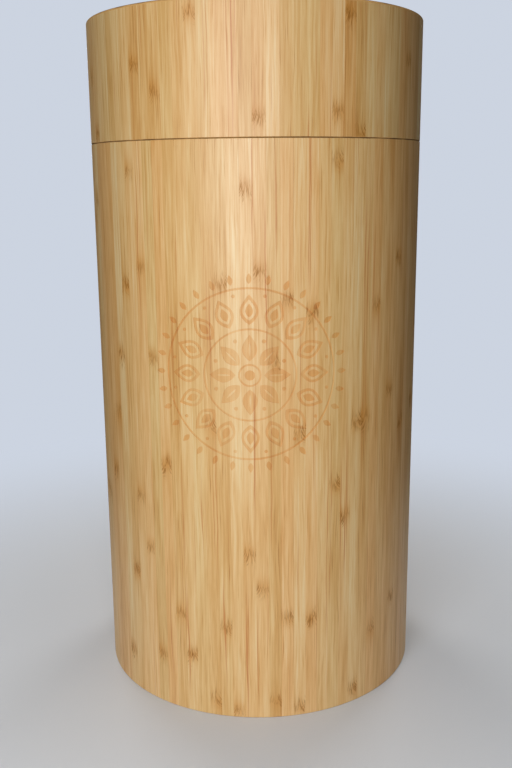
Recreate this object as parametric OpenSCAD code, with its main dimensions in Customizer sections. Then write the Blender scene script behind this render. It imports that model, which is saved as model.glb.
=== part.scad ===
// Tall round canister of laminated bamboo, with a deep lid that fits flush over a neck.
// Millimetres, +Z up, origin on the table under the centre of the canister.

/* [Outside] */
// Outside diameter of the canister and of its lid
outer_d = 186; // [150:1:220]
// Height of the canister wall, from the table to the seam
body_h = 309; // [200:1:360]
// Height of the lid, from the seam to its top
lid_h = 64; // [58:1:90]

/* [Walls and discs] */
// Thickness of the canister wall and of the lid wall
wall_t = 8; // [7:0.5:11]
// Thickness of the base disc and of the lid's top disc
disc_t = 8; // [6:0.5:9]
// Depth to which the two discs are let into the walls
rabbet_t = 4; // [2:0.5:4.5]
// Height of the wall's foot below the base disc
foot_h = 1; // [0.5:0.5:3]

/* [Neck] */
// Thickness of the sleeve, where it is glued into the canister
sleeve_t = 5.4; // [5:0.1:7]
// Height of the neck above the seam
neck_h = 36; // [30:1:40]
// Depth to which the sleeve is glued into the canister
neck_glued = 40; // [25:1:60]
// Gap all round between the neck and the lid
neck_gap = 0.4; // [0.3:0.1:0.6]

/* [Seal ring] */
// Height above the seam at which the ring sits in the lid
seal_z = 12; // [8:1:18]
// Height of the ring
seal_h = 4.6; // [3:0.1:6]
// Depth of the ring's groove in the lid wall
groove_depth = 2; // [1.5:0.1:2.5]
// Play of the ring on the neck and in its groove
seal_play = 0.1; // [0.05:0.01:0.1]

/* [Eased edges] */
// Sanded corner above and below the seam
seam_ease = 0.4; // [0.2:0.1:0.8]
// Radius of the outer edge round the top of the lid
top_round = 1.2; // [0.5:0.1:1.5]
// Radius of the outer edge round the foot
foot_round = 0.8; // [0.3:0.1:1.5]
// Radius of both edges of the neck's top
neck_round = 1.5; // [0.5:0.1:1.8]
// Lead-in round the lid's mouth
lead_in = 1; // [0.5:0.1:2]
// Fine sanded corner of the discs and of the other inner edges
fine_ease = 0.3; // [0.1:0.1:0.5]

/* [Hidden] */
$fn = 180;

outer_r = outer_d / 2;
bore_r = outer_r - wall_t;
rabbet_r = bore_r + rabbet_t;
sleeve_r = bore_r - sleeve_t;
neck_r = bore_r - neck_gap;
groove_r = bore_r + groove_depth;

base_top = foot_h + disc_t;
sleeve_foot = body_h - neck_glued;
neck_top = body_h + neck_h;
total_h = body_h + lid_h;
lid_ceiling = total_h - disc_t;
groove_low = body_h + seal_z;
groove_top = groove_low + seal_h + 2 * seal_play;

arc_steps = 5;
seal_round = 0.9;

bamboo = [0.86, 0.70, 0.47];
bamboo_inside = [0.90, 0.78, 0.57];
silicone = [0.92, 0.92, 0.89];

// Points of a quarter circle about the point c, from the angle a on, anticlockwise.
function quarter(c, r, a) =
    [for (i = [0 : arc_steps]) c + r * [cos(a + 90 * i / arc_steps), sin(a + 90 * i / arc_steps)]];

// Body of revolution from an outline of [radius, height] points.
module turned(outline)
    rotate_extrude()
        polygon(outline);

// Flat round disc between two heights, with its corners taken off.
module disc(low, high)
    turned([
        [0, low],
        [rabbet_r - fine_ease, low],
        [rabbet_r, low + fine_ease],
        [rabbet_r, high - fine_ease],
        [rabbet_r - fine_ease, high],
        [0, high]
    ]);

// Canister wall: a turned tube, rabbeted at the bottom for the base disc.
module body_wall()
    color(bamboo)
        turned(concat(
            [[rabbet_r, 0]],
            quarter([outer_r - foot_round, foot_round], foot_round, 270),
            [
                [outer_r, body_h - seam_ease],
                [outer_r - seam_ease, body_h],
                [bore_r, body_h],
                [bore_r, base_top],
                [rabbet_r, base_top]
            ]
        ));

// Base disc, glued up into the rabbet so that only the wall's foot touches the table.
module base_disc()
    color(bamboo_inside)
        disc(foot_h, base_top);

// Sleeve: glued inside the canister, and turned slimmer above the seam, where it is the neck.
module neck_sleeve()
    color(bamboo_inside)
        turned(concat(
            [
                [sleeve_r + fine_ease, sleeve_foot],
                [bore_r, sleeve_foot],
                [bore_r, body_h],
                [neck_r, body_h]
            ],
            quarter([neck_r - neck_round, neck_top - neck_round], neck_round, 0),
            quarter([sleeve_r + neck_round, neck_top - neck_round], neck_round, 90),
            [[sleeve_r, sleeve_foot + fine_ease]]
        ));

// Silicone ring: a flat back in the lid's groove and a rounded bead that grips the neck.
module seal_ring() {
    low = groove_low + seal_play;
    high = groove_top - seal_play;
    back_r = groove_r - seal_play;
    bead_r = neck_r + seal_play;
    color(silicone)
        turned(concat(
            [[back_r, low], [back_r, high]],
            quarter([bead_r + seal_round, high - seal_round], seal_round, 90),
            quarter([bead_r + seal_round, low + seal_round], seal_round, 180)
        ));
}

// Lid wall: a turned tube with a rabbet for the top disc and a groove for the seal ring.
module lid_wall()
    color(bamboo)
        turned(concat(
            [
                [bore_r + lead_in, body_h],
                [outer_r - seam_ease, body_h],
                [outer_r, body_h + seam_ease]
            ],
            quarter([outer_r - top_round, total_h - top_round], top_round, 0),
            [
                [rabbet_r, total_h],
                [rabbet_r, lid_ceiling],
                [bore_r, lid_ceiling],
                [bore_r, groove_top],
                [groove_r, groove_top],
                [groove_r, groove_low],
                [bore_r, groove_low],
                [bore_r, body_h + lead_in]
            ]
        ));

// Top disc of the lid, glued into the rabbet flush with the rim.
module lid_top()
    color(bamboo)
        disc(lid_ceiling, total_h);

body_wall();
base_disc();
neck_sleeve();
seal_ring();
lid_wall();
lid_top();
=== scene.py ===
# Looks of a tall bamboo canister with a push-on lid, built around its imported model.
import math
import random
from typing import NamedTuple

import bpy
from mathutils import Matrix, Vector
from mathutils.geometry import delaunay_2d_cdt


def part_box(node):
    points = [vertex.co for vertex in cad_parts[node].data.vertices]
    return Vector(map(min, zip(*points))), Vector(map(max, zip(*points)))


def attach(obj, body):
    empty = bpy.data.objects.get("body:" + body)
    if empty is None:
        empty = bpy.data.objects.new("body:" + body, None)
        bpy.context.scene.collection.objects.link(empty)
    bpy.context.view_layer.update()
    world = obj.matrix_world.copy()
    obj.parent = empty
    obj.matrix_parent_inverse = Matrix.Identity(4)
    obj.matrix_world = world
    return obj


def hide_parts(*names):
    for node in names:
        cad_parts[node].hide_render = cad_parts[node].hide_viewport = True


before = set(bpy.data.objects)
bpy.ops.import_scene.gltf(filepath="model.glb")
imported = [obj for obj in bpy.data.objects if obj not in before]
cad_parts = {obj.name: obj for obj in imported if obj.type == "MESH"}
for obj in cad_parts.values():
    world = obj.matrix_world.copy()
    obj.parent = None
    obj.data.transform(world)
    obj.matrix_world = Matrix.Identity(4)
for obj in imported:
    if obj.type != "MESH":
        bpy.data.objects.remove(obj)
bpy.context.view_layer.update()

bl_info = {
    "name": "Bamboo Canister",
    "version": (1, 0, 0),
    "blender": (4, 5, 0),
    "location": "View3D > Sidebar > Canister",
    "description": "Dresses a turned bamboo canister and its lid in upright strips, with an etched roundel",
    "category": "Object",
}

MM = 0.001


def widest(node):
    """Largest radius of a CAD node about the canister's axis."""
    return max(v.co.xy.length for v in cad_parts[node].data.vertices)


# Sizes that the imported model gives.
OUTER_R = widest("body_wall")
BORE_R = widest("neck_sleeve")
RABBET_R = widest("lid_top")
BASE_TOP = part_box("base_disc")[1].z
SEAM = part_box("body_wall")[1].z
RING_LOW, RING_HIGH = (corner.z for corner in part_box("seal_ring"))
CEILING, LID_TOP = (corner.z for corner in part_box("lid_top"))

# Edges and the ring's groove, as the wall's solids have them, and a hair's gap that lets the lid turn.
SEAM_EASE = 0.4 * MM
FOOT_ROUND = 0.8 * MM
TOP_ROUND = 1.2 * MM
LEAD_IN = 1.0 * MM
SEAT_GAP = 0.02 * MM
RING_PLAY = 0.1 * MM
GROOVE_R = widest("seal_ring") + RING_PLAY
ARC_STEPS = 8

# The wall is turned from this many upright strips. Strip 0 starts this far left of the front.
STRIPS = 88
COLUMNS_PER_STRIP = 2
COLUMNS = COLUMNS_PER_STRIP * STRIPS
STRIP_START = -1.7 * MM / OUTER_R
STRIP_TURN = 2 * math.pi / STRIPS
COLUMN_TURN = 2 * math.pi / COLUMNS
STRIP_MM = OUTER_R * STRIP_TURN / MM

# Knots of the strips in front, by strip: height of one knot and spacing along the strip, in mm.
BODY_KNOTS = {
    -15: (128, 190), -14: (165, 180), -13: (197, 175), -12: (76, 161), -11: (120, 173), -10: (92, 154),
    -9: (29, 169), -8: (142, 172), -7: (58, 260), -6: (34, 280), -4: (11, 156), -3: (54, 186), -2: (4, 320),
    -1: (95, 189), 0: (76, 169), 1: (11, 189), 2: (59, 172), 3: (6, 157), 4: (57, 167), 6: (134, 166),
    7: (112, 230), 8: (10, 156), 9: (164, 220), 10: (41, 185), 12: (177, 180), 13: (54, 195), 14: (158, 180),
}
LID_KNOTS = {
    -16: (314, 180), -10: (345, 170), -8: (330, 170), -5: (367, 170), 0: (318, 170), 6: (321, 170),
    7: (366, 170), 8: (313, 170), 14: (348, 170),
}
FRONT_STRIPS = range(-16, 17)
KNOT_SPACING = (155, 195)
KNOT_BOLDNESS = (0.70, 1.15)
NO_KNOT = (-1000, 5000)

# Diameter at which the roundel's shapes are drawn, in mm, how dark the steps round them are, and how
# evenly a petal swells: below 1 it is fullest low down.
ROUNDEL_MM = 103
STEP_SHADE = 1.1
PETAL_SWELL = 0.85

# Stage: size and place of each lamp and where it points, and the camera's place, turn, pitch and roll.
FLOOR_REACH = 20.0
GLOSS_SHARE = 0.05
KEY_LAMP = ((0.44, 0.30), (-0.115, -0.615, 0.32), (0.0, 0.0, 0.19))
TOP_LAMP = ((0.70, 0.70), (0.0, 0.0, 1.45), (0.0, 0.0, 0.0))
BACK_LAMPS = (
    ((0.50, 0.50), (0.56, 0.97, 0.50), (0.0, 0.0, 0.17)),
    ((0.50, 0.50), (-0.56, 0.97, 0.50), (0.0, 0.0, 0.17)),
)
CAMERA_PLACE = (0.0, -0.54445, 0.29097)
CAMERA_ANGLES = (0.12, 77.22, -0.557)


class Grain(NamedTuple):
    """A kind of grain, drawn as noise.

    How often it repeats across and along the fibres, its seed, how much it counts, its detail, and the
    values of the noise between which it rises from nothing to full, where it does.
    """

    across: float
    along: float
    seed: int
    weight: float = 1.0
    detail: float = 2.0
    rise: tuple = None


class Mark(NamedTuple):
    """A mark across a knot, in mm: how far it reaches along the strip, how ragged it is, how far the
    strip's lean shifts it, and how much of it shows.
    """

    reach: float
    ragged: float
    shift: float
    share: float


class Skin(NamedTuple):
    """A cut of the bamboo: how much rougher it is than the clear finish, how much its grain adds to
    that, and the depth of its relief.
    """

    dull: float
    grain: float
    depth: float


# Grain of the strips. The sway is in mm, the rust comes in patches, and the glue shows here and there.
NOISE_ROUGHNESS = 0.55
LAYER_STEP = 7.31
SWAY = Grain(across=0.8, along=0.022, seed=8, weight=2.4)
CLOUD = Grain(across=0.10, along=0.010, seed=2, weight=0.75)
STREAKS = Grain(across=0.9, along=0.022, seed=0, weight=1.00, detail=3.0)
THREADS = Grain(across=2.3, along=0.040, seed=4, weight=0.42, detail=1.0, rise=(0.06, 0.30))
PORES = Grain(across=4.0, along=0.16, seed=5, weight=0.12, detail=1.0, rise=(0.08, 0.28))
GLUE = Grain(across=0.0, along=0.012, seed=7, weight=0.40, rise=(-0.05, 0.15))
PATCH = Grain(across=0.9, along=0.010, seed=10, detail=1.0, rise=(-0.04, 0.12))
RUST = Grain(across=1.25, along=0.006, seed=9, weight=0.9, detail=1.0, rise=(0.09, 0.22))

# Darkness of plain wood, how far tint and lean spread it, and where in it each tone of the wood lies.
PLAIN_DARKNESS = 0.36
TINT_SPREAD = 0.25
LEAN_SPREAD = 0.26
TONE_PLACES = (0.0, 0.3, 0.62, 1.0)
GLUE_EDGE = (0.45, 0.50)

# Knots: how ragged they are, how they slant and fan out, how they fade across a strip, and their marks.
RAGGED_FINENESS = 0.8
RAGGED_REACH = 18
KNOT_SLANT = 0.5
KNOT_FAN = 0.9
KNOT_FADE = 0.7
STROKES = Grain(across=2.2, along=0.15, seed=6, detail=1.0, rise=(-0.04, 0.10))
RIDGE = Mark(reach=0.55, ragged=0.8, shift=4, share=0.6)
STAIN = Mark(reach=4.4, ragged=0.5, shift=7, share=0.62)
HEART_REACH = 0.6
HEART_GROWTH = 3.2
SWELLING_REACH = 16.0
SWELLING_DARKNESS = 0.06
KNOT_DULLNESS = 0.25
SCATTERED_BOLDNESS = (0.5, 1.0)

# Sawn ends: the dots of the fibre bundles, the glue between the strips, and their own clouds and tint.
DOTS_ACROSS = 1.35
DOTS_OUT = 1.15
DOTS_STEP = 17.3
DOT_SCATTER = 0.85
DOT_SIZE = 0.26
DOT_CROWDING = 0.36
DOT_RIM = (0.7, 1.3)
DOT_SHARE = 0.55
CROWDED_SIDE = (0.4, 0.6)
SAWN_GLUE_EDGE = (0.44, 0.50)
SAWN_GLUE_SHARE = 0.30
SAWN_CLOUD = Grain(across=1.5, along=0.25, seed=0, detail=3.0)
SAWN_STEP = 3.4
SAWN_TINT = 0.4
SAWN_STAIN = 0.08

# Seeds of the strips: the canister's and then the lid's, where the two differ.
SIDE_SEEDS = (11, 42)
BOARD_SEEDS = (5, 28)
BORE_SEED = 57.0
SLEEVE_SEED = 83.0
KNOT_SEED_STEP = 0.5

# Cuts of the bamboo, and what is special about each.
SPECULAR = 0.8
SIDE = Skin(dull=0.0, grain=0.06, depth=0.05 * MM)
BORE = Skin(dull=0.10, grain=0.05, depth=0.06 * MM)
END = Skin(dull=0.12, grain=0.10, depth=0.04 * MM)
EDGE = Skin(dull=0.30, grain=0.10, depth=0.05 * MM)
BOARD = Skin(dull=0.14, grain=0.06, depth=0.05 * MM)
SLEEVE = Skin(dull=0.08, grain=0.0, depth=0.05 * MM)
BURN = Grain(across=3.7, along=0.03, seed=5, weight=1.6)
BURN_SHARE = 0.85
ETCH_DULLNESS = 0.14
BORE_PALENESS = 0.25
# Painted shade on the eased edges: noise that breaks it up and gives them relief, how fast it lightens down
# from the rim's top, how light it starts there, and where it has faded out.
SHADE_AND_WEAR = Grain(across=0.7, along=0.5, seed=3, weight=0.6, detail=3.0)
RIM_SPREAD = 0.4
RIM_START = 0.08
EDGE_FADE = (0.05, 0.45)
FACES_UP = (0.55, 0.85)

# Silicone: how fine its flow marks and its bloom are, and how dark and how deep they get.
FLOW_ROUND = 0.12
FLOW_UP = 0.6
FLOW_DETAIL = 3.0
FLOW_RISE = (-0.2, 0.3)
FLOW_SHADE = 0.86
BLOOM = 2.5
BLOOM_DULLNESS = 0.2
BLOOM_DEPTH = 0.03 * MM

# Floor: how fine its flecks are, how dark and how deep they get, and its roughness.
FLECK = 1.4
FLECK_DETAIL = 4.0
FLECK_SHADE = 0.94
FLECK_DEPTH = 0.1 * MM
FLOOR_ROUGHNESS = 0.9


def tone(red, green, blue):
    """A display colour, from 0 to 1, as the linear colour that shaders take."""
    return tuple(c / 12.92 if c <= 0.04045 else ((c + 0.055) / 1.055) ** 2.4 for c in (red, green, blue))


def colour_property(name, description, default):
    return bpy.props.FloatVectorProperty(
        name=name, description=description, subtype="COLOR", size=3, min=0, max=1, default=default
    )


def length_property(name, description, default):
    return bpy.props.FloatProperty(
        name=name, description=description, subtype="DISTANCE", unit="LENGTH", default=default
    )


def share_property(name, description, default):
    return bpy.props.FloatProperty(name=name, description=description, subtype="FACTOR", default=default)


def power_property(name, description, default):
    return bpy.props.FloatProperty(name=name, description=description, unit="POWER", default=default)


class CanisterTimber(bpy.types.PropertyGroup):
    """Colours and finish of the bamboo."""

    palest: colour_property("Palest", "Lightest fibres", tone(0.950, 0.850, 0.660))
    pale: colour_property("Pale", "Common light tone", tone(0.920, 0.770, 0.540))
    middle: colour_property("Middle", "Common middle tone", tone(0.860, 0.670, 0.405))
    dark: colour_property("Dark", "Dark fibres and streaks", tone(0.730, 0.500, 0.240))
    rust: colour_property("Rust", "Long reddish streaks", tone(0.775, 0.480, 0.210))
    stain: colour_property("Stain", "Stain round a knot", tone(0.820, 0.560, 0.225))
    knot: colour_property("Knot", "Dark strokes in a knot", tone(0.630, 0.405, 0.070))
    warm: colour_property("Warm", "Tint of the warmest strips", tone(1.00, 0.960, 0.915))
    cool: colour_property("Cool", "Tint of the coolest strips", tone(0.980, 0.985, 0.955))
    etch: colour_property("Etch", "Tint that the etching leaves", tone(0.955, 0.860, 0.715))
    end: colour_property("End grain", "Sawn ends of the strips", tone(0.860, 0.695, 0.455))
    sawn: colour_property("Sawn fibres", "Dots of the fibre bundles in sawn ends", tone(0.600, 0.405, 0.205))
    # Seam: colour of the painted shade in the seam between lid and canister and along the rim's top edge.
    seam: colour_property("Seam", "Eased edges along the seam", tone(0.50, 0.35, 0.16))
    gloss: share_property("Roughness", "Roughness of the clear finish", 0.46)


class CanisterRoundel(bpy.types.PropertyGroup):
    """Place and size of the etched roundel."""

    diameter: length_property("Diameter", "Across the outer petals", 103 * MM)
    height: length_property("Height", "Middle of the roundel above the foot", 193 * MM)
    aside: length_property("Aside", "Middle of the roundel right of the front line", -4 * MM)
    depth: length_property("Depth", "Depth of the etching", 0.2 * MM)


class CanisterRing(bpy.types.PropertyGroup):
    """The silicone seal ring."""

    colour: colour_property("Colour", "Colour of the silicone", tone(0.93, 0.93, 0.905))
    roughness: share_property("Roughness", "Roughness of the silicone", 0.45)


class CanisterStage(bpy.types.PropertyGroup):
    """Floor, backdrop, lamps and camera."""

    floor: colour_property("Floor", "Colour of the floor", tone(0.865, 0.880, 0.900))
    backdrop: colour_property("Backdrop", "Colour behind the canister", tone(0.80, 0.83, 0.88))
    fade: bpy.props.FloatVectorProperty(
        name="Fade",
        description="Where the floor passes into the backdrop",
        size=2,
        unit="LENGTH",
        default=(0.15, 0.5),
    )
    key: power_property("Key", "Soft lamp beside the camera", 2.95)
    top: power_property("Top", "Soft lamp overhead", 4.8)
    back: power_property("Back", "Each soft lamp behind", 5.0)
    sky: bpy.props.FloatProperty(name="Sky", description="Light from all round", default=0.012)
    lens: bpy.props.FloatProperty(name="Lens", description="Focal length", unit="CAMERA", default=42.96)


def between(ends, share):
    """What lies at a share of the way from one end to the other."""
    return ends[0] + share * (ends[1] - ends[0])


def point_at(turn, radius, height):
    """A point of the row frame from its turn to the right of the front, its radius and its height."""
    return (radius * math.sin(turn), -radius * math.cos(turn), height)


def line(start, end, finish):
    """One straight stretch of a wall's outline of (radius, height) points, solid on its left."""
    along = (Vector(end) - Vector(start)).normalized()
    normal = (along.y, -along.x)
    return [(start, end, normal, normal, finish)]


def chain(points, finish):
    """Straight stretches through a row of outline points."""
    return [stretch for a, b in zip(points, points[1:]) for stretch in line(a, b, finish)]


def quarter(centre, radius, start, finish):
    """A rounded edge: a quarter circle from the angle start on, anticlockwise."""
    normals = [
        (math.cos(start + math.pi / 2 * i / ARC_STEPS), math.sin(start + math.pi / 2 * i / ARC_STEPS))
        for i in range(ARC_STEPS + 1)
    ]
    points = [(centre[0] + radius * x, centre[1] + radius * z) for x, z in normals]
    return list(zip(points, points[1:], normals, normals[1:], [finish] * ARC_STEPS))


class Shell:
    """Facets of one wall, gathered by place so that neighbours share their corners."""

    FINISHES = ("side", "bore", "end", "eased")
    WELD = 2e-7

    def __init__(self, knots, seed):
        self.places = {}
        self.points = []
        self.facets = []
        pick = random.Random(seed)
        self.knots = []
        for strip in range(STRIPS):
            number = strip if strip < STRIPS // 2 else strip - STRIPS
            spacing = pick.uniform(*KNOT_SPACING)
            unseen = (pick.uniform(0, spacing), spacing)
            boldness = pick.uniform(*KNOT_BOLDNESS)
            at, spacing = knots.get(number, NO_KNOT if number in FRONT_STRIPS else unseen)
            self.knots.append((at * MM, spacing * MM, boldness))

    def corner(self, point):
        key = tuple(round(c / self.WELD) for c in point)
        if key not in self.places:
            self.places[key] = len(self.points)
            self.points.append(point)
        return self.places[key]

    def add(self, points, normals, finish, column, etched=0.0):
        """Adds one facet; column is its place round the wall, and etched how dark it is etched."""
        corners = [self.corner(p) for p in points]
        strip = column // COLUMNS_PER_STRIP % STRIPS
        self.facets.append((corners, normals, self.FINISHES.index(finish), self.knots[strip], etched))

    def turn(self, outline, panel=None):
        """Sweeps an outline round the axis, leaving out what a panel takes the place of."""
        for start, end, normal, next_normal, finish in outline:
            for column in range(COLUMNS):
                if panel and panel.holds(start, column):
                    continue
                left = STRIP_START + column * COLUMN_TURN
                right = left + COLUMN_TURN
                turns = (left, right, right, left)
                corners = [point_at(turn, *p) for turn, p in zip(turns, (start, start, end, end))]
                facing = (normal, normal, next_normal, next_normal)
                normals = [point_at(turn, *n) for turn, n in zip(turns, facing)]
                self.add(corners, normals, finish, column)

    def build(self, name, body, node, materials):
        """Makes the mesh object that stands for a CAD node and rides on its body."""
        mesh = bpy.data.meshes.new(name)
        mesh.from_pydata(self.points, [], [f[0] for f in self.facets])
        mesh.polygons.foreach_set("material_index", [f[2] for f in self.facets])
        knot = mesh.attributes.new("knot", "FLOAT_VECTOR", "FACE")
        knot.data.foreach_set("vector", [c for f in self.facets for c in f[3]])
        etched = mesh.attributes.new("etched", "FLOAT", "FACE")
        etched.data.foreach_set("value", [f[4] for f in self.facets])
        for finish in self.FINISHES:
            mesh.materials.append(materials[finish])
        mesh.shade_smooth()
        mesh.normals_split_custom_set([n for f in self.facets for n in f[1]])
        piece = bpy.data.objects.new(name, mesh)
        bpy.context.scene.collection.objects.link(piece)
        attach(piece, body)
        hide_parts(node)


def circle(radius, steps, centre=(0, 0)):
    """Outline of a round, as points."""
    turns = [2 * math.pi * i / steps for i in range(steps)]
    return [(centre[0] + radius * math.cos(t), centre[1] + radius * math.sin(t)) for t in turns]


def ring(outer, inner, steps, shade):
    """An etched ring round the roundel's middle: a dark round, with a bare one on it."""
    return [(circle(outer, steps), shade), (circle(inner, steps), 0)]


def petal(inner, outer, half_width, steps=14):
    """Outline of a pointed petal that stands on the axis between two radii, fullest low down."""
    shares = [i / steps for i in range(1, steps)]
    side = [(half_width * math.sin(math.pi * t**PETAL_SWELL), inner + (outer - inner) * t) for t in shares]
    return [(0, inner)] + side + [(0, outer)] + [(-x, y) for x, y in reversed(side)]


def around(outline, count, shade, half_step=False):
    """Copies of an outline round the roundel's middle, each with its shade."""
    shapes = []
    for i in range(count):
        turn = 2 * math.pi * (i + 0.5 * half_step) / count
        c, s = math.cos(turn), math.sin(turn)
        shapes.append(([(x * c + y * s, y * c - x * s) for x, y in outline], shade))
    return shapes


def roundel():
    """Shapes of the etched roundel, in mm about its middle, later ones on top; shade 0 is bare wood."""
    shapes = ring(outer=44.6, inner=43.6, steps=160, shade=0.85)
    shapes += ring(outer=24.0, inner=23.1, steps=96, shade=0.8)
    shapes += around(petal(inner=46.2, outer=51.5, half_width=1.35, steps=8), count=32, shade=1.0)
    shapes += around(petal(inner=25.8, outer=41.0, half_width=4.7), count=16, shade=0.85)
    shapes += around(petal(inner=27.9, outer=38.6, half_width=3.4), count=16, shade=0)
    shapes += around(petal(inner=29.6, outer=36.4, half_width=1.9), count=16, shade=0.95)
    shapes += around(circle(radius=0.9, steps=12, centre=(0, 40.8)), count=16, shade=0.9, half_step=True)
    shapes += around(petal(inner=7.4, outer=20.8, half_width=3.8), count=8, shade=0.75)
    shapes += around(petal(inner=9.8, outer=17.6, half_width=0.5), count=8, shade=0)
    shapes += around(circle(radius=1.0, steps=12, centre=(0, 18.8)), count=8, shade=0.9, half_step=True)
    shapes += ring(outer=5.9, inner=5.0, steps=40, shade=0.8)
    return shapes + [(circle(radius=2.6, steps=24), 0.9)]


class Panel:
    """The stretch of wall that the roundel is cut into: whole columns between two heights."""

    MARGIN = 3 * MM
    ROWS = 16
    SNAP = 1e-3
    CUT_ROUNDING = 1e-4

    def __init__(self, settings):
        self.settings = settings
        reach = settings.diameter / 2 + self.MARGIN
        middle = settings.aside - STRIP_START * OUTER_R
        width = COLUMN_TURN * OUTER_R
        self.low = settings.height - reach
        self.high = settings.height + reach
        self.first = math.floor((middle - reach) / width)
        self.count = math.ceil((middle + reach) / width) - self.first

    def holds(self, start, column):
        """Whether the panel takes the place of one column of the stretch that starts at a point."""
        return start == (OUTER_R, self.low) and (column - self.first) % COLUMNS < self.count

    def spot(self, point, width):
        """Turn and height of a cut point, brought exactly onto the columns and borders it lies on."""
        column = point.x / width
        if abs(column - round(column)) < self.SNAP:
            column = round(column)
        height = self.low + point.y * MM
        for border in (self.low, self.high):
            if abs(height - border) < self.SNAP * MM:
                height = border
        return STRIP_START + (self.first + column) * COLUMN_TURN, height

    def cut(self):
        """Cuts the shapes and the columns into triangles. Gives their corners' spots, columns and shades."""
        width = COLUMN_TURN * OUTER_R / MM
        scale = self.settings.diameter / MM / ROUNDEL_MM
        across = (self.settings.aside - STRIP_START * OUTER_R) / MM - self.first * width
        up = (self.settings.height - self.low) / MM
        points, edges, faces = [], [], []
        for column in range(self.count + 1):
            rows = 1 if column in (0, self.count) else self.ROWS
            for row in range(rows + 1):
                points.append(Vector((column * width, (self.high - self.low) / MM * row / rows)))
                if row:
                    edges.append((len(points) - 2, len(points) - 1))
        shapes = roundel()
        for outline, _ in shapes:
            faces.append(range(len(points), len(points) + len(outline)))
            points += [Vector((across + x * scale, up + y * scale)) for x, y in outline]
        flat, _, triangles, _, _, inside = delaunay_2d_cdt(points, edges, faces, 0, self.CUT_ROUNDING)
        spots = [self.spot(point, width) for point in flat]
        columns = [self.first + math.floor(sum(flat[c].x for c in t) / len(t) / width) for t in triangles]
        shades = [shapes[max(own)][1] if own else 0 for own in inside]
        return spots, triangles, columns, shades

    def etch(self, shell):
        """Adds the panel to a wall: bare wood, etched floors at their depth, and steps between the two."""
        spots, triangles, columns, shades = self.cut()
        floor_r = OUTER_R - self.settings.depth
        edges = {edge: shade for t, shade in zip(triangles, shades) for edge in zip(t, t[1:] + t[:1])}
        for triangle, column, shade in zip(triangles, columns, shades):
            corners = [spots[c] for c in triangle]
            radius = floor_r if shade else OUTER_R
            places = [point_at(turn, radius, height) for turn, height in corners]
            shell.add(places, [point_at(turn, 1, 0) for turn, _ in corners], "side", column, shade)
            for a, b in zip(triangle, triangle[1:] + triangle[:1]):
                if not shade or edges.get((b, a), shade):
                    continue
                ends = (spots[a], spots[b])
                step = [point_at(turn, OUTER_R, height) for turn, height in ends]
                step += [point_at(turn, floor_r, height) for turn, height in reversed(ends)]
                along = Vector(step[1]) - Vector(step[0])
                facing = Vector(point_at(ends[0][0], 1, 0)).cross(along).normalized()
                shell.add(step, [facing] * 4, "side", column, STEP_SHADE)


class Wire:
    """An output of a shader node. Arithmetic on it adds Math nodes to the same material."""

    def __init__(self, finish, socket):
        self.finish = finish
        self.socket = socket

    def __add__(self, other):
        return self.finish.math("ADD", self, other)

    def __radd__(self, other):
        return self.finish.math("ADD", other, self)

    def __sub__(self, other):
        return self.finish.math("SUBTRACT", self, other)

    def __rsub__(self, other):
        return self.finish.math("SUBTRACT", other, self)

    def __mul__(self, other):
        return self.finish.math("MULTIPLY", self, other)

    def __rmul__(self, other):
        return self.finish.math("MULTIPLY", other, self)

    def __truediv__(self, other):
        return self.finish.math("DIVIDE", self, other)

    def __rtruediv__(self, other):
        return self.finish.math("DIVIDE", other, self)

    def __abs__(self):
        return self.finish.math("ABSOLUTE", self)

    def floor(self):
        return self.finish.math("FLOOR", self)

    def or_more(self, other):
        return self.finish.math("MAXIMUM", self, other)

    def step(self, low, high):
        """A smooth step from 0 at one value to 1 at another."""
        sockets = {"Value": self, "From Min": low, "From Max": high}
        return self.finish.add("ShaderNodeMapRange", {"interpolation_type": "SMOOTHSTEP"}, sockets)

    def bell(self, width):
        """1 where the value is 0, falling off smoothly to either side."""
        share = self / width
        return self.finish.math("EXPONENT", share * share * -1)

    def near(self, spacing):
        """Distance from the nearest whole multiple of a spacing."""
        return self.finish.math("WRAP", self, spacing / 2, spacing / -2)


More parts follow.
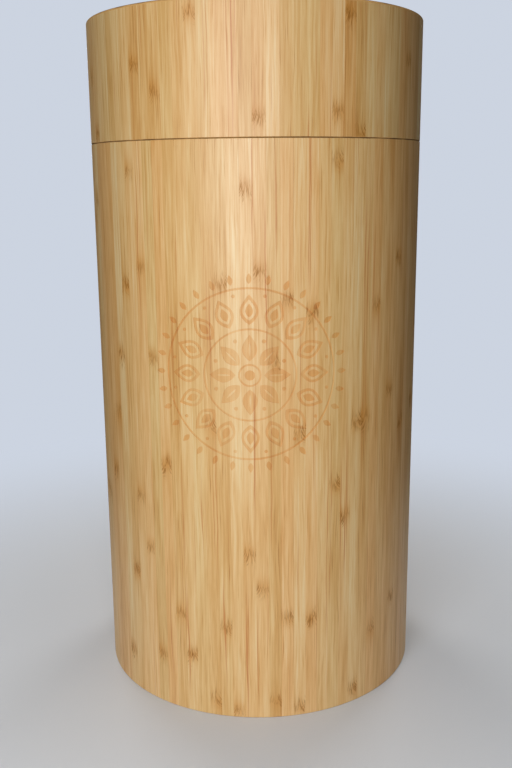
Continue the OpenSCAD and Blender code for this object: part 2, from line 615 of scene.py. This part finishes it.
class Finish:
    """The nodes of one material, or of the world."""

    def __init__(self, tree):
        self.tree = tree

    def add(self, kind, settings=None, sockets=None, output=0):
        """Adds a node, its settings first and then its sockets' values or links, and gives one output."""
        node = self.tree.nodes.new(kind)
        for name, value in (settings or {}).items():
            if name == "stops":
                self.fill_ramp(node.color_ramp.elements, value)
            else:
                setattr(node, name, value)
        self.connect(node, sockets or {})
        return Wire(self, node.outputs[output])

    def connect(self, node, sockets):
        """Gives a node's sockets their values or links."""
        for name, value in sockets.items():
            if isinstance(value, Wire):
                self.tree.links.new(value.socket, node.inputs[name])
            else:
                node.inputs[name].default_value = value

    def fill_ramp(self, ramp, stops):
        """Sets a ramp's stops from pairs of position and colour."""
        while len(ramp) < len(stops):
            ramp.new(1)
        for element, (position, colour) in zip(ramp, stops):
            element.position = position
            element.color = (*colour, 1)

    def math(self, operation, *terms):
        return self.add("ShaderNodeMath", {"operation": operation}, dict(enumerate(terms)))

    def vector(self, x, y, z):
        return self.add("ShaderNodeCombineXYZ", None, {"X": x, "Y": y, "Z": z})

    def parts(self, vector):
        """The three parts of a vector or of a random colour."""
        split = self.add("ShaderNodeSeparateXYZ", None, {0: vector})
        return [Wire(self, output) for output in split.socket.node.outputs]

    def mix(self, a, b, share, blend="MIX"):
        """Colour a with colour b laid over it by a share."""
        colours = [c if isinstance(c, Wire) else (*c, 1) for c in (a, b)]
        settings = {"data_type": "RGBA", "blend_type": blend}
        return self.add("ShaderNodeMix", settings, {0: share, 6: colours[0], 7: colours[1]}, 2)

    def noise(self, x, y, z, detail=2.0):
        """Soft noise about 0, most of it between -0.2 and 0.2."""
        look = {"Scale": 1.0, "Detail": detail, "Roughness": NOISE_ROUGHNESS}
        return self.add("ShaderNodeTexNoise", None, {"Vector": self.vector(x, y, z), **look}) - 0.5

    def grain(self, kind, across, along, layer=0.0):
        """A kind of grain at a place, on a layer of noise of its own."""
        noise = self.noise(across * kind.across, along * kind.along, layer + kind.seed, kind.detail)
        return noise.step(*kind.rise) if kind.rise else noise

    def picks(self, number, seed):
        """Three even random numbers from 0 to 1 that stay with a number."""
        sockets = {"Vector": self.vector(number, seed, 0.0)}
        return self.parts(self.add("ShaderNodeTexWhiteNoise", {"noise_dimensions": "2D"}, sockets, "Color"))

    def place(self):
        """Place in the row frame, in mm."""
        return [part / MM for part in self.parts(self.add("ShaderNodeTexCoord", output="Object"))]

    def show(self, colour, roughness, relief, depth):
        """Gives the surface its colour and roughness, and a relief of a depth."""
        bump = self.add("ShaderNodeBump", None, {"Strength": 1.0, "Distance": depth, "Height": relief})
        look = {"Base Color": colour, "Roughness": roughness, "Specular IOR Level": SPECULAR, "Normal": bump}
        self.connect(self.tree.nodes["Principled BSDF"], look)


def material(name, recipe, *details):
    """Makes a material from a recipe."""
    made = bpy.data.materials.new(name)
    made.use_nodes = True
    recipe(Finish(made.node_tree), *details)
    return made


def round_place(finish):
    """Place on a turned wall: strips from strip 0 on, radius and height, both in mm."""
    x, y, z = finish.place()
    turn = finish.math("ARCTAN2", x, y * -1)
    across = finish.math("WRAP", (turn - STRIP_START) / STRIP_TURN, STRIPS / 2, -STRIPS / 2)
    return across, finish.math("SQRT", x * x + y * y), z


def seed_of(finish, height, seeds):
    """Seed of the canister's strips below the seam, and of the lid's above it."""
    return between(seeds, finish.math("GREATER_THAN", height, SEAM / MM))


def scattered_knots(finish, seed):
    """Gives what finds the height, spacing and boldness of a strip's knots, at random."""

    def find(number):
        start, spread, boldness = finish.picks(number, seed + KNOT_SEED_STEP)
        spacing = between(KNOT_SPACING, spread)
        return start * spacing, spacing, between(SCATTERED_BOLDNESS, boldness)

    return find


def placed_knots(finish):
    """Gives the same for a wall, whose facets carry it."""
    carried = finish.add("ShaderNodeAttribute", {"attribute_name": "knot"}, output="Vector")
    at, spacing, boldness = finish.parts(carried)
    return lambda number: (at / MM, spacing / MM, boldness)


def knot_marks(finish, fibre, along, layer, knots, lean):
    """How much of a knot shows at a place: its stain, its fibres' dark strokes, and the swelling round it."""
    at, spacing, boldness = knots
    away = (along - at).near(spacing)
    share = fibre / STRIP_MM
    aslant = lean - 0.5
    ragged = finish.noise(fibre * RAGGED_FINENESS, layer, 0.0) * RAGGED_REACH
    fanned = fibre + away * (aslant * KNOT_SLANT + (share - 0.5) * KNOT_FAN)
    strokes = finish.grain(STROKES, fanned, along, layer)
    bold = (1 - abs(share - lean) * KNOT_FADE) * boldness
    ridge, stain = [
        (away + ragged * mark.ragged + aslant * mark.shift).bell(mark.reach) * mark.share
        for mark in (RIDGE, STAIN)
    ]
    heart = (away + ragged).bell(boldness * HEART_GROWTH + HEART_REACH) * strokes
    return stain * bold, heart.or_more(ridge) * bold, away.bell(SWELLING_REACH)


def warmed(finish, timber, colour, warmth):
    """A strip's colour with its own tint, between the coolest and the warmest."""
    return finish.mix(colour, finish.mix(timber.cool, timber.warm, warmth), 1.0, "MULTIPLY")


def bamboo(finish, timber, across, along, knots, seed):
    """Strips of bamboo on edge, counted by across, with their fibres along, in mm.

    Gives their colour, how dark they are, which also serves as relief, and how dull their knots leave them.
    """
    number = across.floor()
    share = across - number
    layer = number * LAYER_STEP + seed
    tint, lean, warmth = finish.picks(number, seed)
    fibre = share * STRIP_MM + finish.grain(SWAY, share, along, layer) * SWAY.weight

    cloud, streaks, threads, pores, rust = [
        finish.grain(kind, fibre, along, layer) for kind in (CLOUD, STREAKS, THREADS, PORES, RUST)
    ]
    patch = finish.grain(PATCH, share, along, layer)
    glue = abs(share - 0.5).step(*GLUE_EDGE) * finish.grain(GLUE, 0.0, along, layer)
    stain, heart, swelling = knot_marks(finish, share * STRIP_MM, along, layer, knots(number), lean)

    darkness = (
        PLAIN_DARKNESS
        + (tint - 0.5) * TINT_SPREAD
        + (lean - 0.5) * (share - 0.5) * LEAN_SPREAD
        + cloud * CLOUD.weight
        + streaks * STREAKS.weight
        + threads * THREADS.weight
        + pores * PORES.weight
        + glue * warmth * GLUE.weight
        + swelling * SWELLING_DARKNESS
    )
    tones = (timber.palest, timber.pale, timber.middle, timber.dark)
    colour = finish.add("ShaderNodeValToRGB", {"stops": list(zip(TONE_PLACES, tones))}, {"Fac": darkness})
    colour = warmed(finish, timber, colour, warmth)
    colour = finish.mix(colour, timber.rust, rust * patch * RUST.weight)
    colour = finish.mix(colour, timber.stain, stain)
    return finish.mix(colour, timber.knot, heart), darkness, heart * KNOT_DULLNESS


def end_grain(finish, timber, across, radius, seed):
    """Sawn ends of the strips, with the dots of their fibre bundles, which crowd to one side of a strip.

    Gives their colour, and how far the dots stand proud.
    """
    number = across.floor()
    share = across - number
    tint, lean, warmth = finish.picks(number, seed)
    place = finish.vector(share * STRIP_MM * DOTS_ACROSS + number * DOTS_STEP, radius * DOTS_OUT, 0.0)
    spots = {"Vector": place, "Scale": 1.0, "Randomness": DOT_SCATTER}
    distance = finish.add("ShaderNodeTexVoronoi", {"voronoi_dimensions": "2D"}, spots)
    size = DOT_SIZE + (share - 0.5) * (lean.step(*CROWDED_SIDE) - 0.5) * DOT_CROWDING
    dots = 1 - (distance / size).step(*DOT_RIM)
    glue = abs(share - 0.5).step(*SAWN_GLUE_EDGE)
    cloud = finish.grain(SAWN_CLOUD, share + number * SAWN_STEP, radius)
    colour = finish.mix(timber.end, timber.stain, (tint - 0.5) * SAWN_TINT + cloud + SAWN_STAIN)
    colour = warmed(finish, timber, colour, warmth)
    return finish.mix(colour, timber.sawn, dots * DOT_SHARE + glue * SAWN_GLUE_SHARE), dots


def coat(finish, timber, skin, colour, relief, dull=0.0):
    """Gives a cut of the bamboo its clear finish."""
    finish.show(colour, timber.gloss + skin.dull + relief * skin.grain + dull, relief, skin.depth)


def wall_side(finish, timber):
    """Outside of a wall, scorched where it is etched."""
    across, _, height = round_place(finish)
    seed = seed_of(finish, height, SIDE_SEEDS)
    colour, relief, dull = bamboo(finish, timber, across, height, placed_knots(finish), seed)
    etched = finish.add("ShaderNodeAttribute", {"attribute_name": "etched"}, output="Fac")
    burn = BURN_SHARE + finish.grain(BURN, across.floor(), height) * BURN.weight
    colour = finish.mix(colour, timber.etch, etched * burn, "MULTIPLY")
    coat(finish, timber, SIDE, colour, relief, dull + etched * ETCH_DULLNESS)


def wall_bore(finish, timber):
    """Inside of a wall, scraped smooth and paler, with a thinner coat of oil."""
    across, _, height = round_place(finish)
    colour, relief, dull = bamboo(finish, timber, across, height, placed_knots(finish), BORE_SEED)
    coat(finish, timber, BORE, finish.mix(colour, timber.palest, BORE_PALENESS), relief, dull)


def wall_end(finish, timber):
    """Ends of the strips at the mouth, the rim and the foot."""
    across, radius, height = round_place(finish)
    colour, dots = end_grain(finish, timber, across, radius, seed_of(finish, height, SIDE_SEEDS))
    coat(finish, timber, END, colour, dots)


def wall_edge(finish, timber):
    """Eased edges with painted shade, darkest in the seam and along the top of the rim."""
    across, _, height = round_place(finish)
    # Noise that shifts where the painted shade ends, and gives the edges a faint relief.
    shade_and_wear = finish.grain(SHADE_AND_WEAR, across, height)
    from_rim = (LID_TOP / MM - height) * RIM_SPREAD + RIM_START
    away = finish.math("MINIMUM", abs(height - SEAM / MM), from_rim) + shade_and_wear * SHADE_AND_WEAR.weight
    # Painted shade: the seam colour over the middle tone, full near the seam and the rim's top, fading out
    # further away.
    coat(finish, timber, EDGE, finish.mix(timber.seam, timber.middle, away.step(*EDGE_FADE)), shade_and_wear)


def board_face(finish, timber):
    """Flat boards glued up from the same strips, which run from side to side."""
    x, y, z = finish.place()
    seed = seed_of(finish, z, BOARD_SEEDS)
    colour, relief, dull = bamboo(finish, timber, y / STRIP_MM, x, scattered_knots(finish, seed), seed)
    coat(finish, timber, BOARD, colour, relief, dull)


def sleeve_face(finish, timber):
    """The sleeve's own strips, with their ends where it faces up or down."""
    across, radius, height = round_place(finish)
    facing = finish.parts(finish.add("ShaderNodeTexCoord", output="Normal"))[2]
    ends = abs(facing).step(*FACES_UP)
    knots = scattered_knots(finish, SLEEVE_SEED)
    colour, relief, dull = bamboo(finish, timber, across, height, knots, SLEEVE_SEED)
    sawn, dots = end_grain(finish, timber, across, radius, SLEEVE_SEED)
    dull = dull + dots * ends * END.grain
    coat(finish, timber, SLEEVE, finish.mix(colour, sawn, ends), relief, dull)


def silicone(finish, colour, roughness):
    """Translucent white rubber, with the faint bloom and flow marks of its mould."""
    x, y, z = finish.place()
    flow = finish.noise(x * FLOW_ROUND, y * FLOW_ROUND, z * FLOW_UP, FLOW_DETAIL)
    bloom = finish.noise(x * BLOOM, y * BLOOM, z * BLOOM)
    shade = finish.mix(colour, tuple(c * FLOW_SHADE for c in colour), flow.step(*FLOW_RISE))
    finish.show(shade, roughness + bloom * BLOOM_DULLNESS, bloom, BLOOM_DEPTH)


def body_outline(panel):
    """Outline of the canister's wall, with the panel's stretch on its own."""
    foot = line((RABBET_R, 0), (OUTER_R - FOOT_ROUND, 0), "end")
    foot += quarter((OUTER_R - FOOT_ROUND, FOOT_ROUND), FOOT_ROUND, 1.5 * math.pi, "side")
    heights = (FOOT_ROUND, panel.low, panel.high, SEAM - SEAM_EASE)
    side = chain([(OUTER_R, height) for height in heights], "side")
    mouth = line((OUTER_R, SEAM - SEAM_EASE), (OUTER_R - SEAM_EASE, SEAM), "eased")
    mouth += line((OUTER_R - SEAM_EASE, SEAM), (BORE_R, SEAM), "end")
    bore = chain([(BORE_R, SEAM), (BORE_R, BASE_TOP), (RABBET_R, BASE_TOP), (RABBET_R, 0)], "bore")
    return foot + side + mouth + bore


def lid_outline():
    """Outline of the lid's wall, with its rabbet, the ring's groove and the lead-in at its mouth."""
    seat = SEAM + SEAT_GAP
    mouth = line((BORE_R + LEAD_IN, seat), (OUTER_R - SEAM_EASE, seat), "end")
    mouth += line((OUTER_R - SEAM_EASE, seat), (OUTER_R, SEAM + SEAM_EASE), "eased")
    side = line((OUTER_R, SEAM + SEAM_EASE), (OUTER_R, LID_TOP - TOP_ROUND), "side")
    rim = quarter((OUTER_R - TOP_ROUND, LID_TOP - TOP_ROUND), TOP_ROUND, 0, "eased")
    rim += line((OUTER_R - TOP_ROUND, LID_TOP), (RABBET_R, LID_TOP), "end")
    bore = [(RABBET_R, LID_TOP), (RABBET_R, CEILING), (BORE_R, CEILING), (BORE_R, RING_HIGH + RING_PLAY)]
    bore += [(GROOVE_R, RING_HIGH + RING_PLAY), (GROOVE_R, RING_LOW - RING_PLAY)]
    bore += [(BORE_R, RING_LOW - RING_PLAY), (BORE_R, SEAM + LEAD_IN), (BORE_R + LEAD_IN, seat)]
    return mouth + side + rim + chain(bore, "bore")


def dress(node, finish):
    """Gives a CAD node its finish, and keeps its shape."""
    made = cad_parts[node]
    made.data.materials.clear()
    made.data.materials.append(finish)


def add_lamp(name, power, size, location, target, mirrored=False):
    """Adds a soft lamp that looks at a target. Only its light shows, and its gloss if it is mirrored."""
    light = bpy.data.lights.new(name, "AREA")
    light.energy = power
    light.shape = "RECTANGLE"
    light.size, light.size_y = size
    lamp = bpy.data.objects.new(name, light)
    lamp.location = location
    lamp.rotation_euler = (Vector(target) - Vector(location)).to_track_quat("-Z", "Y").to_euler()
    lamp.visible_camera = False
    lamp.visible_glossy = mirrored
    bpy.context.scene.collection.objects.link(lamp)


def seen_plainly(finish):
    """How much of the backdrop a ray sees: all from the camera or through glass, and some off satin."""
    path = finish.add("ShaderNodeLightPath").socket.node.outputs
    straight, through, off = (
        Wire(finish, path[name]) for name in ("Is Camera Ray", "Is Transmission Ray", "Is Glossy Ray")
    )
    return straight.or_more(through).or_more(off * GLOSS_SHARE)


def pale_floor(finish, stage):
    """Pale floor that keeps the shadow near the object and passes into the backdrop further out."""
    x, y, _ = finish.place()
    away = finish.math("SQRT", x * x + y * y).step(*(reach / MM for reach in stage.fade))
    fleck = finish.noise(x * FLECK, y * FLECK, 0.0, FLECK_DETAIL)
    shaded = tuple(c * FLECK_SHADE for c in stage.floor)
    finish.show(finish.mix(stage.floor, shaded, fleck + 0.5), FLOOR_ROUGHNESS, fleck, FLECK_DEPTH)
    surface = Wire(finish, finish.tree.nodes["Principled BSDF"].outputs[0])
    light = {"Color": (*stage.backdrop, 1), "Strength": seen_plainly(finish)}
    glow = finish.add("ShaderNodeEmission", None, light)
    blend = finish.add("ShaderNodeMixShader", None, {0: away, 1: surface, 2: glow})
    finish.connect(finish.tree.nodes["Material Output"], {"Surface": blend})


def sky_light(finish, stage):
    """Even light from all round, and the backdrop's colour where it is seen."""
    even = (stage.sky,) * 3
    colour = finish.mix(even, stage.backdrop, seen_plainly(finish))
    finish.connect(finish.tree.nodes["Background"], {"Color": colour, "Strength": 1.0})


class CANISTER_OT_walls(bpy.types.Operator):
    """Make the walls of the canister and the lid, with the etched roundel"""

    bl_idname = "canister.walls"
    bl_label = "Walls"

    def execute(self, context):
        timber = context.scene.canister_timber
        finishes = {
            "side": material("Bamboo side", wall_side, timber),
            "bore": material("Bamboo bore", wall_bore, timber),
            "end": material("Bamboo end grain", wall_end, timber),
            # The eased edges carry painted shade in the seam and along the rim's top.
            "eased": material("Bamboo eased edge", wall_edge, timber),
        }
        panel = Panel(context.scene.canister_roundel)
        body = Shell(BODY_KNOTS, seed=3)
        body.turn(body_outline(panel), panel)
        panel.etch(body)
        body.build("canister_wall", "canister", "body_wall", finishes)
        lid = Shell(LID_KNOTS, seed=4)
        lid.turn(lid_outline())
        lid.build("lid_side", "lid", "lid_wall", finishes)
        return {"FINISHED"}


class CANISTER_OT_boards(bpy.types.Operator):
    """Finish the base board and the lid's top board"""

    bl_idname = "canister.boards"
    bl_label = "Boards"

    def execute(self, context):
        finish = material("Bamboo board", board_face, context.scene.canister_timber)
        for node in ("base_disc", "lid_top"):
            dress(node, finish)
        return {"FINISHED"}


class CANISTER_OT_sleeve(bpy.types.Operator):
    """Finish the sleeve that stands up as the neck"""

    bl_idname = "canister.sleeve"
    bl_label = "Neck sleeve"

    def execute(self, context):
        finish = material("Bamboo sleeve", sleeve_face, context.scene.canister_timber)
        dress("neck_sleeve", finish)
        return {"FINISHED"}


class CANISTER_OT_ring(bpy.types.Operator):
    """Finish the silicone ring in the lid"""

    bl_idname = "canister.ring"
    bl_label = "Seal ring"

    def execute(self, context):
        settings = context.scene.canister_ring
        finish = material("Silicone", silicone, tuple(settings.colour), settings.roughness)
        dress("seal_ring", finish)
        return {"FINISHED"}


class CANISTER_OT_stage(bpy.types.Operator):
    """Set the floor, the light and the camera"""

    bl_idname = "canister.stage"
    bl_label = "Stage"

    def execute(self, context):
        scene = context.scene
        stage = scene.canister_stage
        mesh = bpy.data.meshes.new("Floor")
        corners = [(x * FLOOR_REACH, y * FLOOR_REACH, 0) for x, y in ((-1, -1), (1, -1), (1, 1), (-1, 1))]
        mesh.from_pydata(corners, [], [(0, 1, 2, 3)])
        mesh.materials.append(material("Floor", pale_floor, stage))
        floor = bpy.data.objects.new("Floor", mesh)
        scene.collection.objects.link(floor)

        world = bpy.data.worlds.new("Sky")
        world.use_nodes = True
        sky_light(Finish(world.node_tree), stage)
        scene.world = world
        add_lamp("Key", stage.key, *KEY_LAMP, mirrored=True)
        add_lamp("Top", stage.top, *TOP_LAMP)
        for lamp in BACK_LAMPS:
            add_lamp("Back", stage.back, *lamp)

        camera = bpy.data.objects.new("Camera", bpy.data.cameras.new("Camera"))
        camera.data.lens = stage.lens
        aim, pitch, roll = (math.radians(a) for a in CAMERA_ANGLES)
        turns = Matrix.Rotation(aim, 4, "Z") @ Matrix.Rotation(pitch, 4, "X") @ Matrix.Rotation(roll, 4, "Z")
        camera.matrix_world = Matrix.Translation(CAMERA_PLACE) @ turns
        scene.collection.objects.link(camera)
        scene.camera = camera
        scene.view_settings.view_transform = "Standard"
        return {"FINISHED"}


class CANISTER_PT_panel(bpy.types.Panel):
    """Sizes, colours and steps of the canister"""

    bl_idname = "CANISTER_PT_panel"
    bl_label = "Canister"
    bl_space_type = "VIEW_3D"
    bl_region_type = "UI"
    bl_category = "Canister"

    def draw(self, context):
        for group, operators in PANEL_ROWS:
            box = self.layout.box()
            settings = getattr(context.scene, group)
            for name in type(settings).__annotations__:
                box.prop(settings, name)
            for operator in operators:
                box.operator(operator.bl_idname)


GROUPS = {
    "canister_timber": CanisterTimber,
    "canister_roundel": CanisterRoundel,
    "canister_ring": CanisterRing,
    "canister_stage": CanisterStage,
}
PANEL_ROWS = (
    ("canister_timber", (CANISTER_OT_boards, CANISTER_OT_sleeve)),
    ("canister_roundel", (CANISTER_OT_walls,)),
    ("canister_ring", (CANISTER_OT_ring,)),
    ("canister_stage", (CANISTER_OT_stage,)),
)
OPERATORS = (CANISTER_OT_walls, CANISTER_OT_boards, CANISTER_OT_sleeve, CANISTER_OT_ring, CANISTER_OT_stage)
CLASSES = (*GROUPS.values(), *OPERATORS, CANISTER_PT_panel)


def register():
    for made in CLASSES:
        bpy.utils.register_class(made)
    for name, group in GROUPS.items():
        setattr(bpy.types.Scene, name, bpy.props.PointerProperty(type=group))


def unregister():
    for name in GROUPS:
        delattr(bpy.types.Scene, name)
    for made in reversed(CLASSES):
        bpy.utils.unregister_class(made)


def main():
    register()
    bpy.ops.canister.walls()
    bpy.ops.canister.boards()
    bpy.ops.canister.sleeve()
    bpy.ops.canister.ring()
    bpy.ops.canister.stage()


if __name__ == "__main__":
    main()
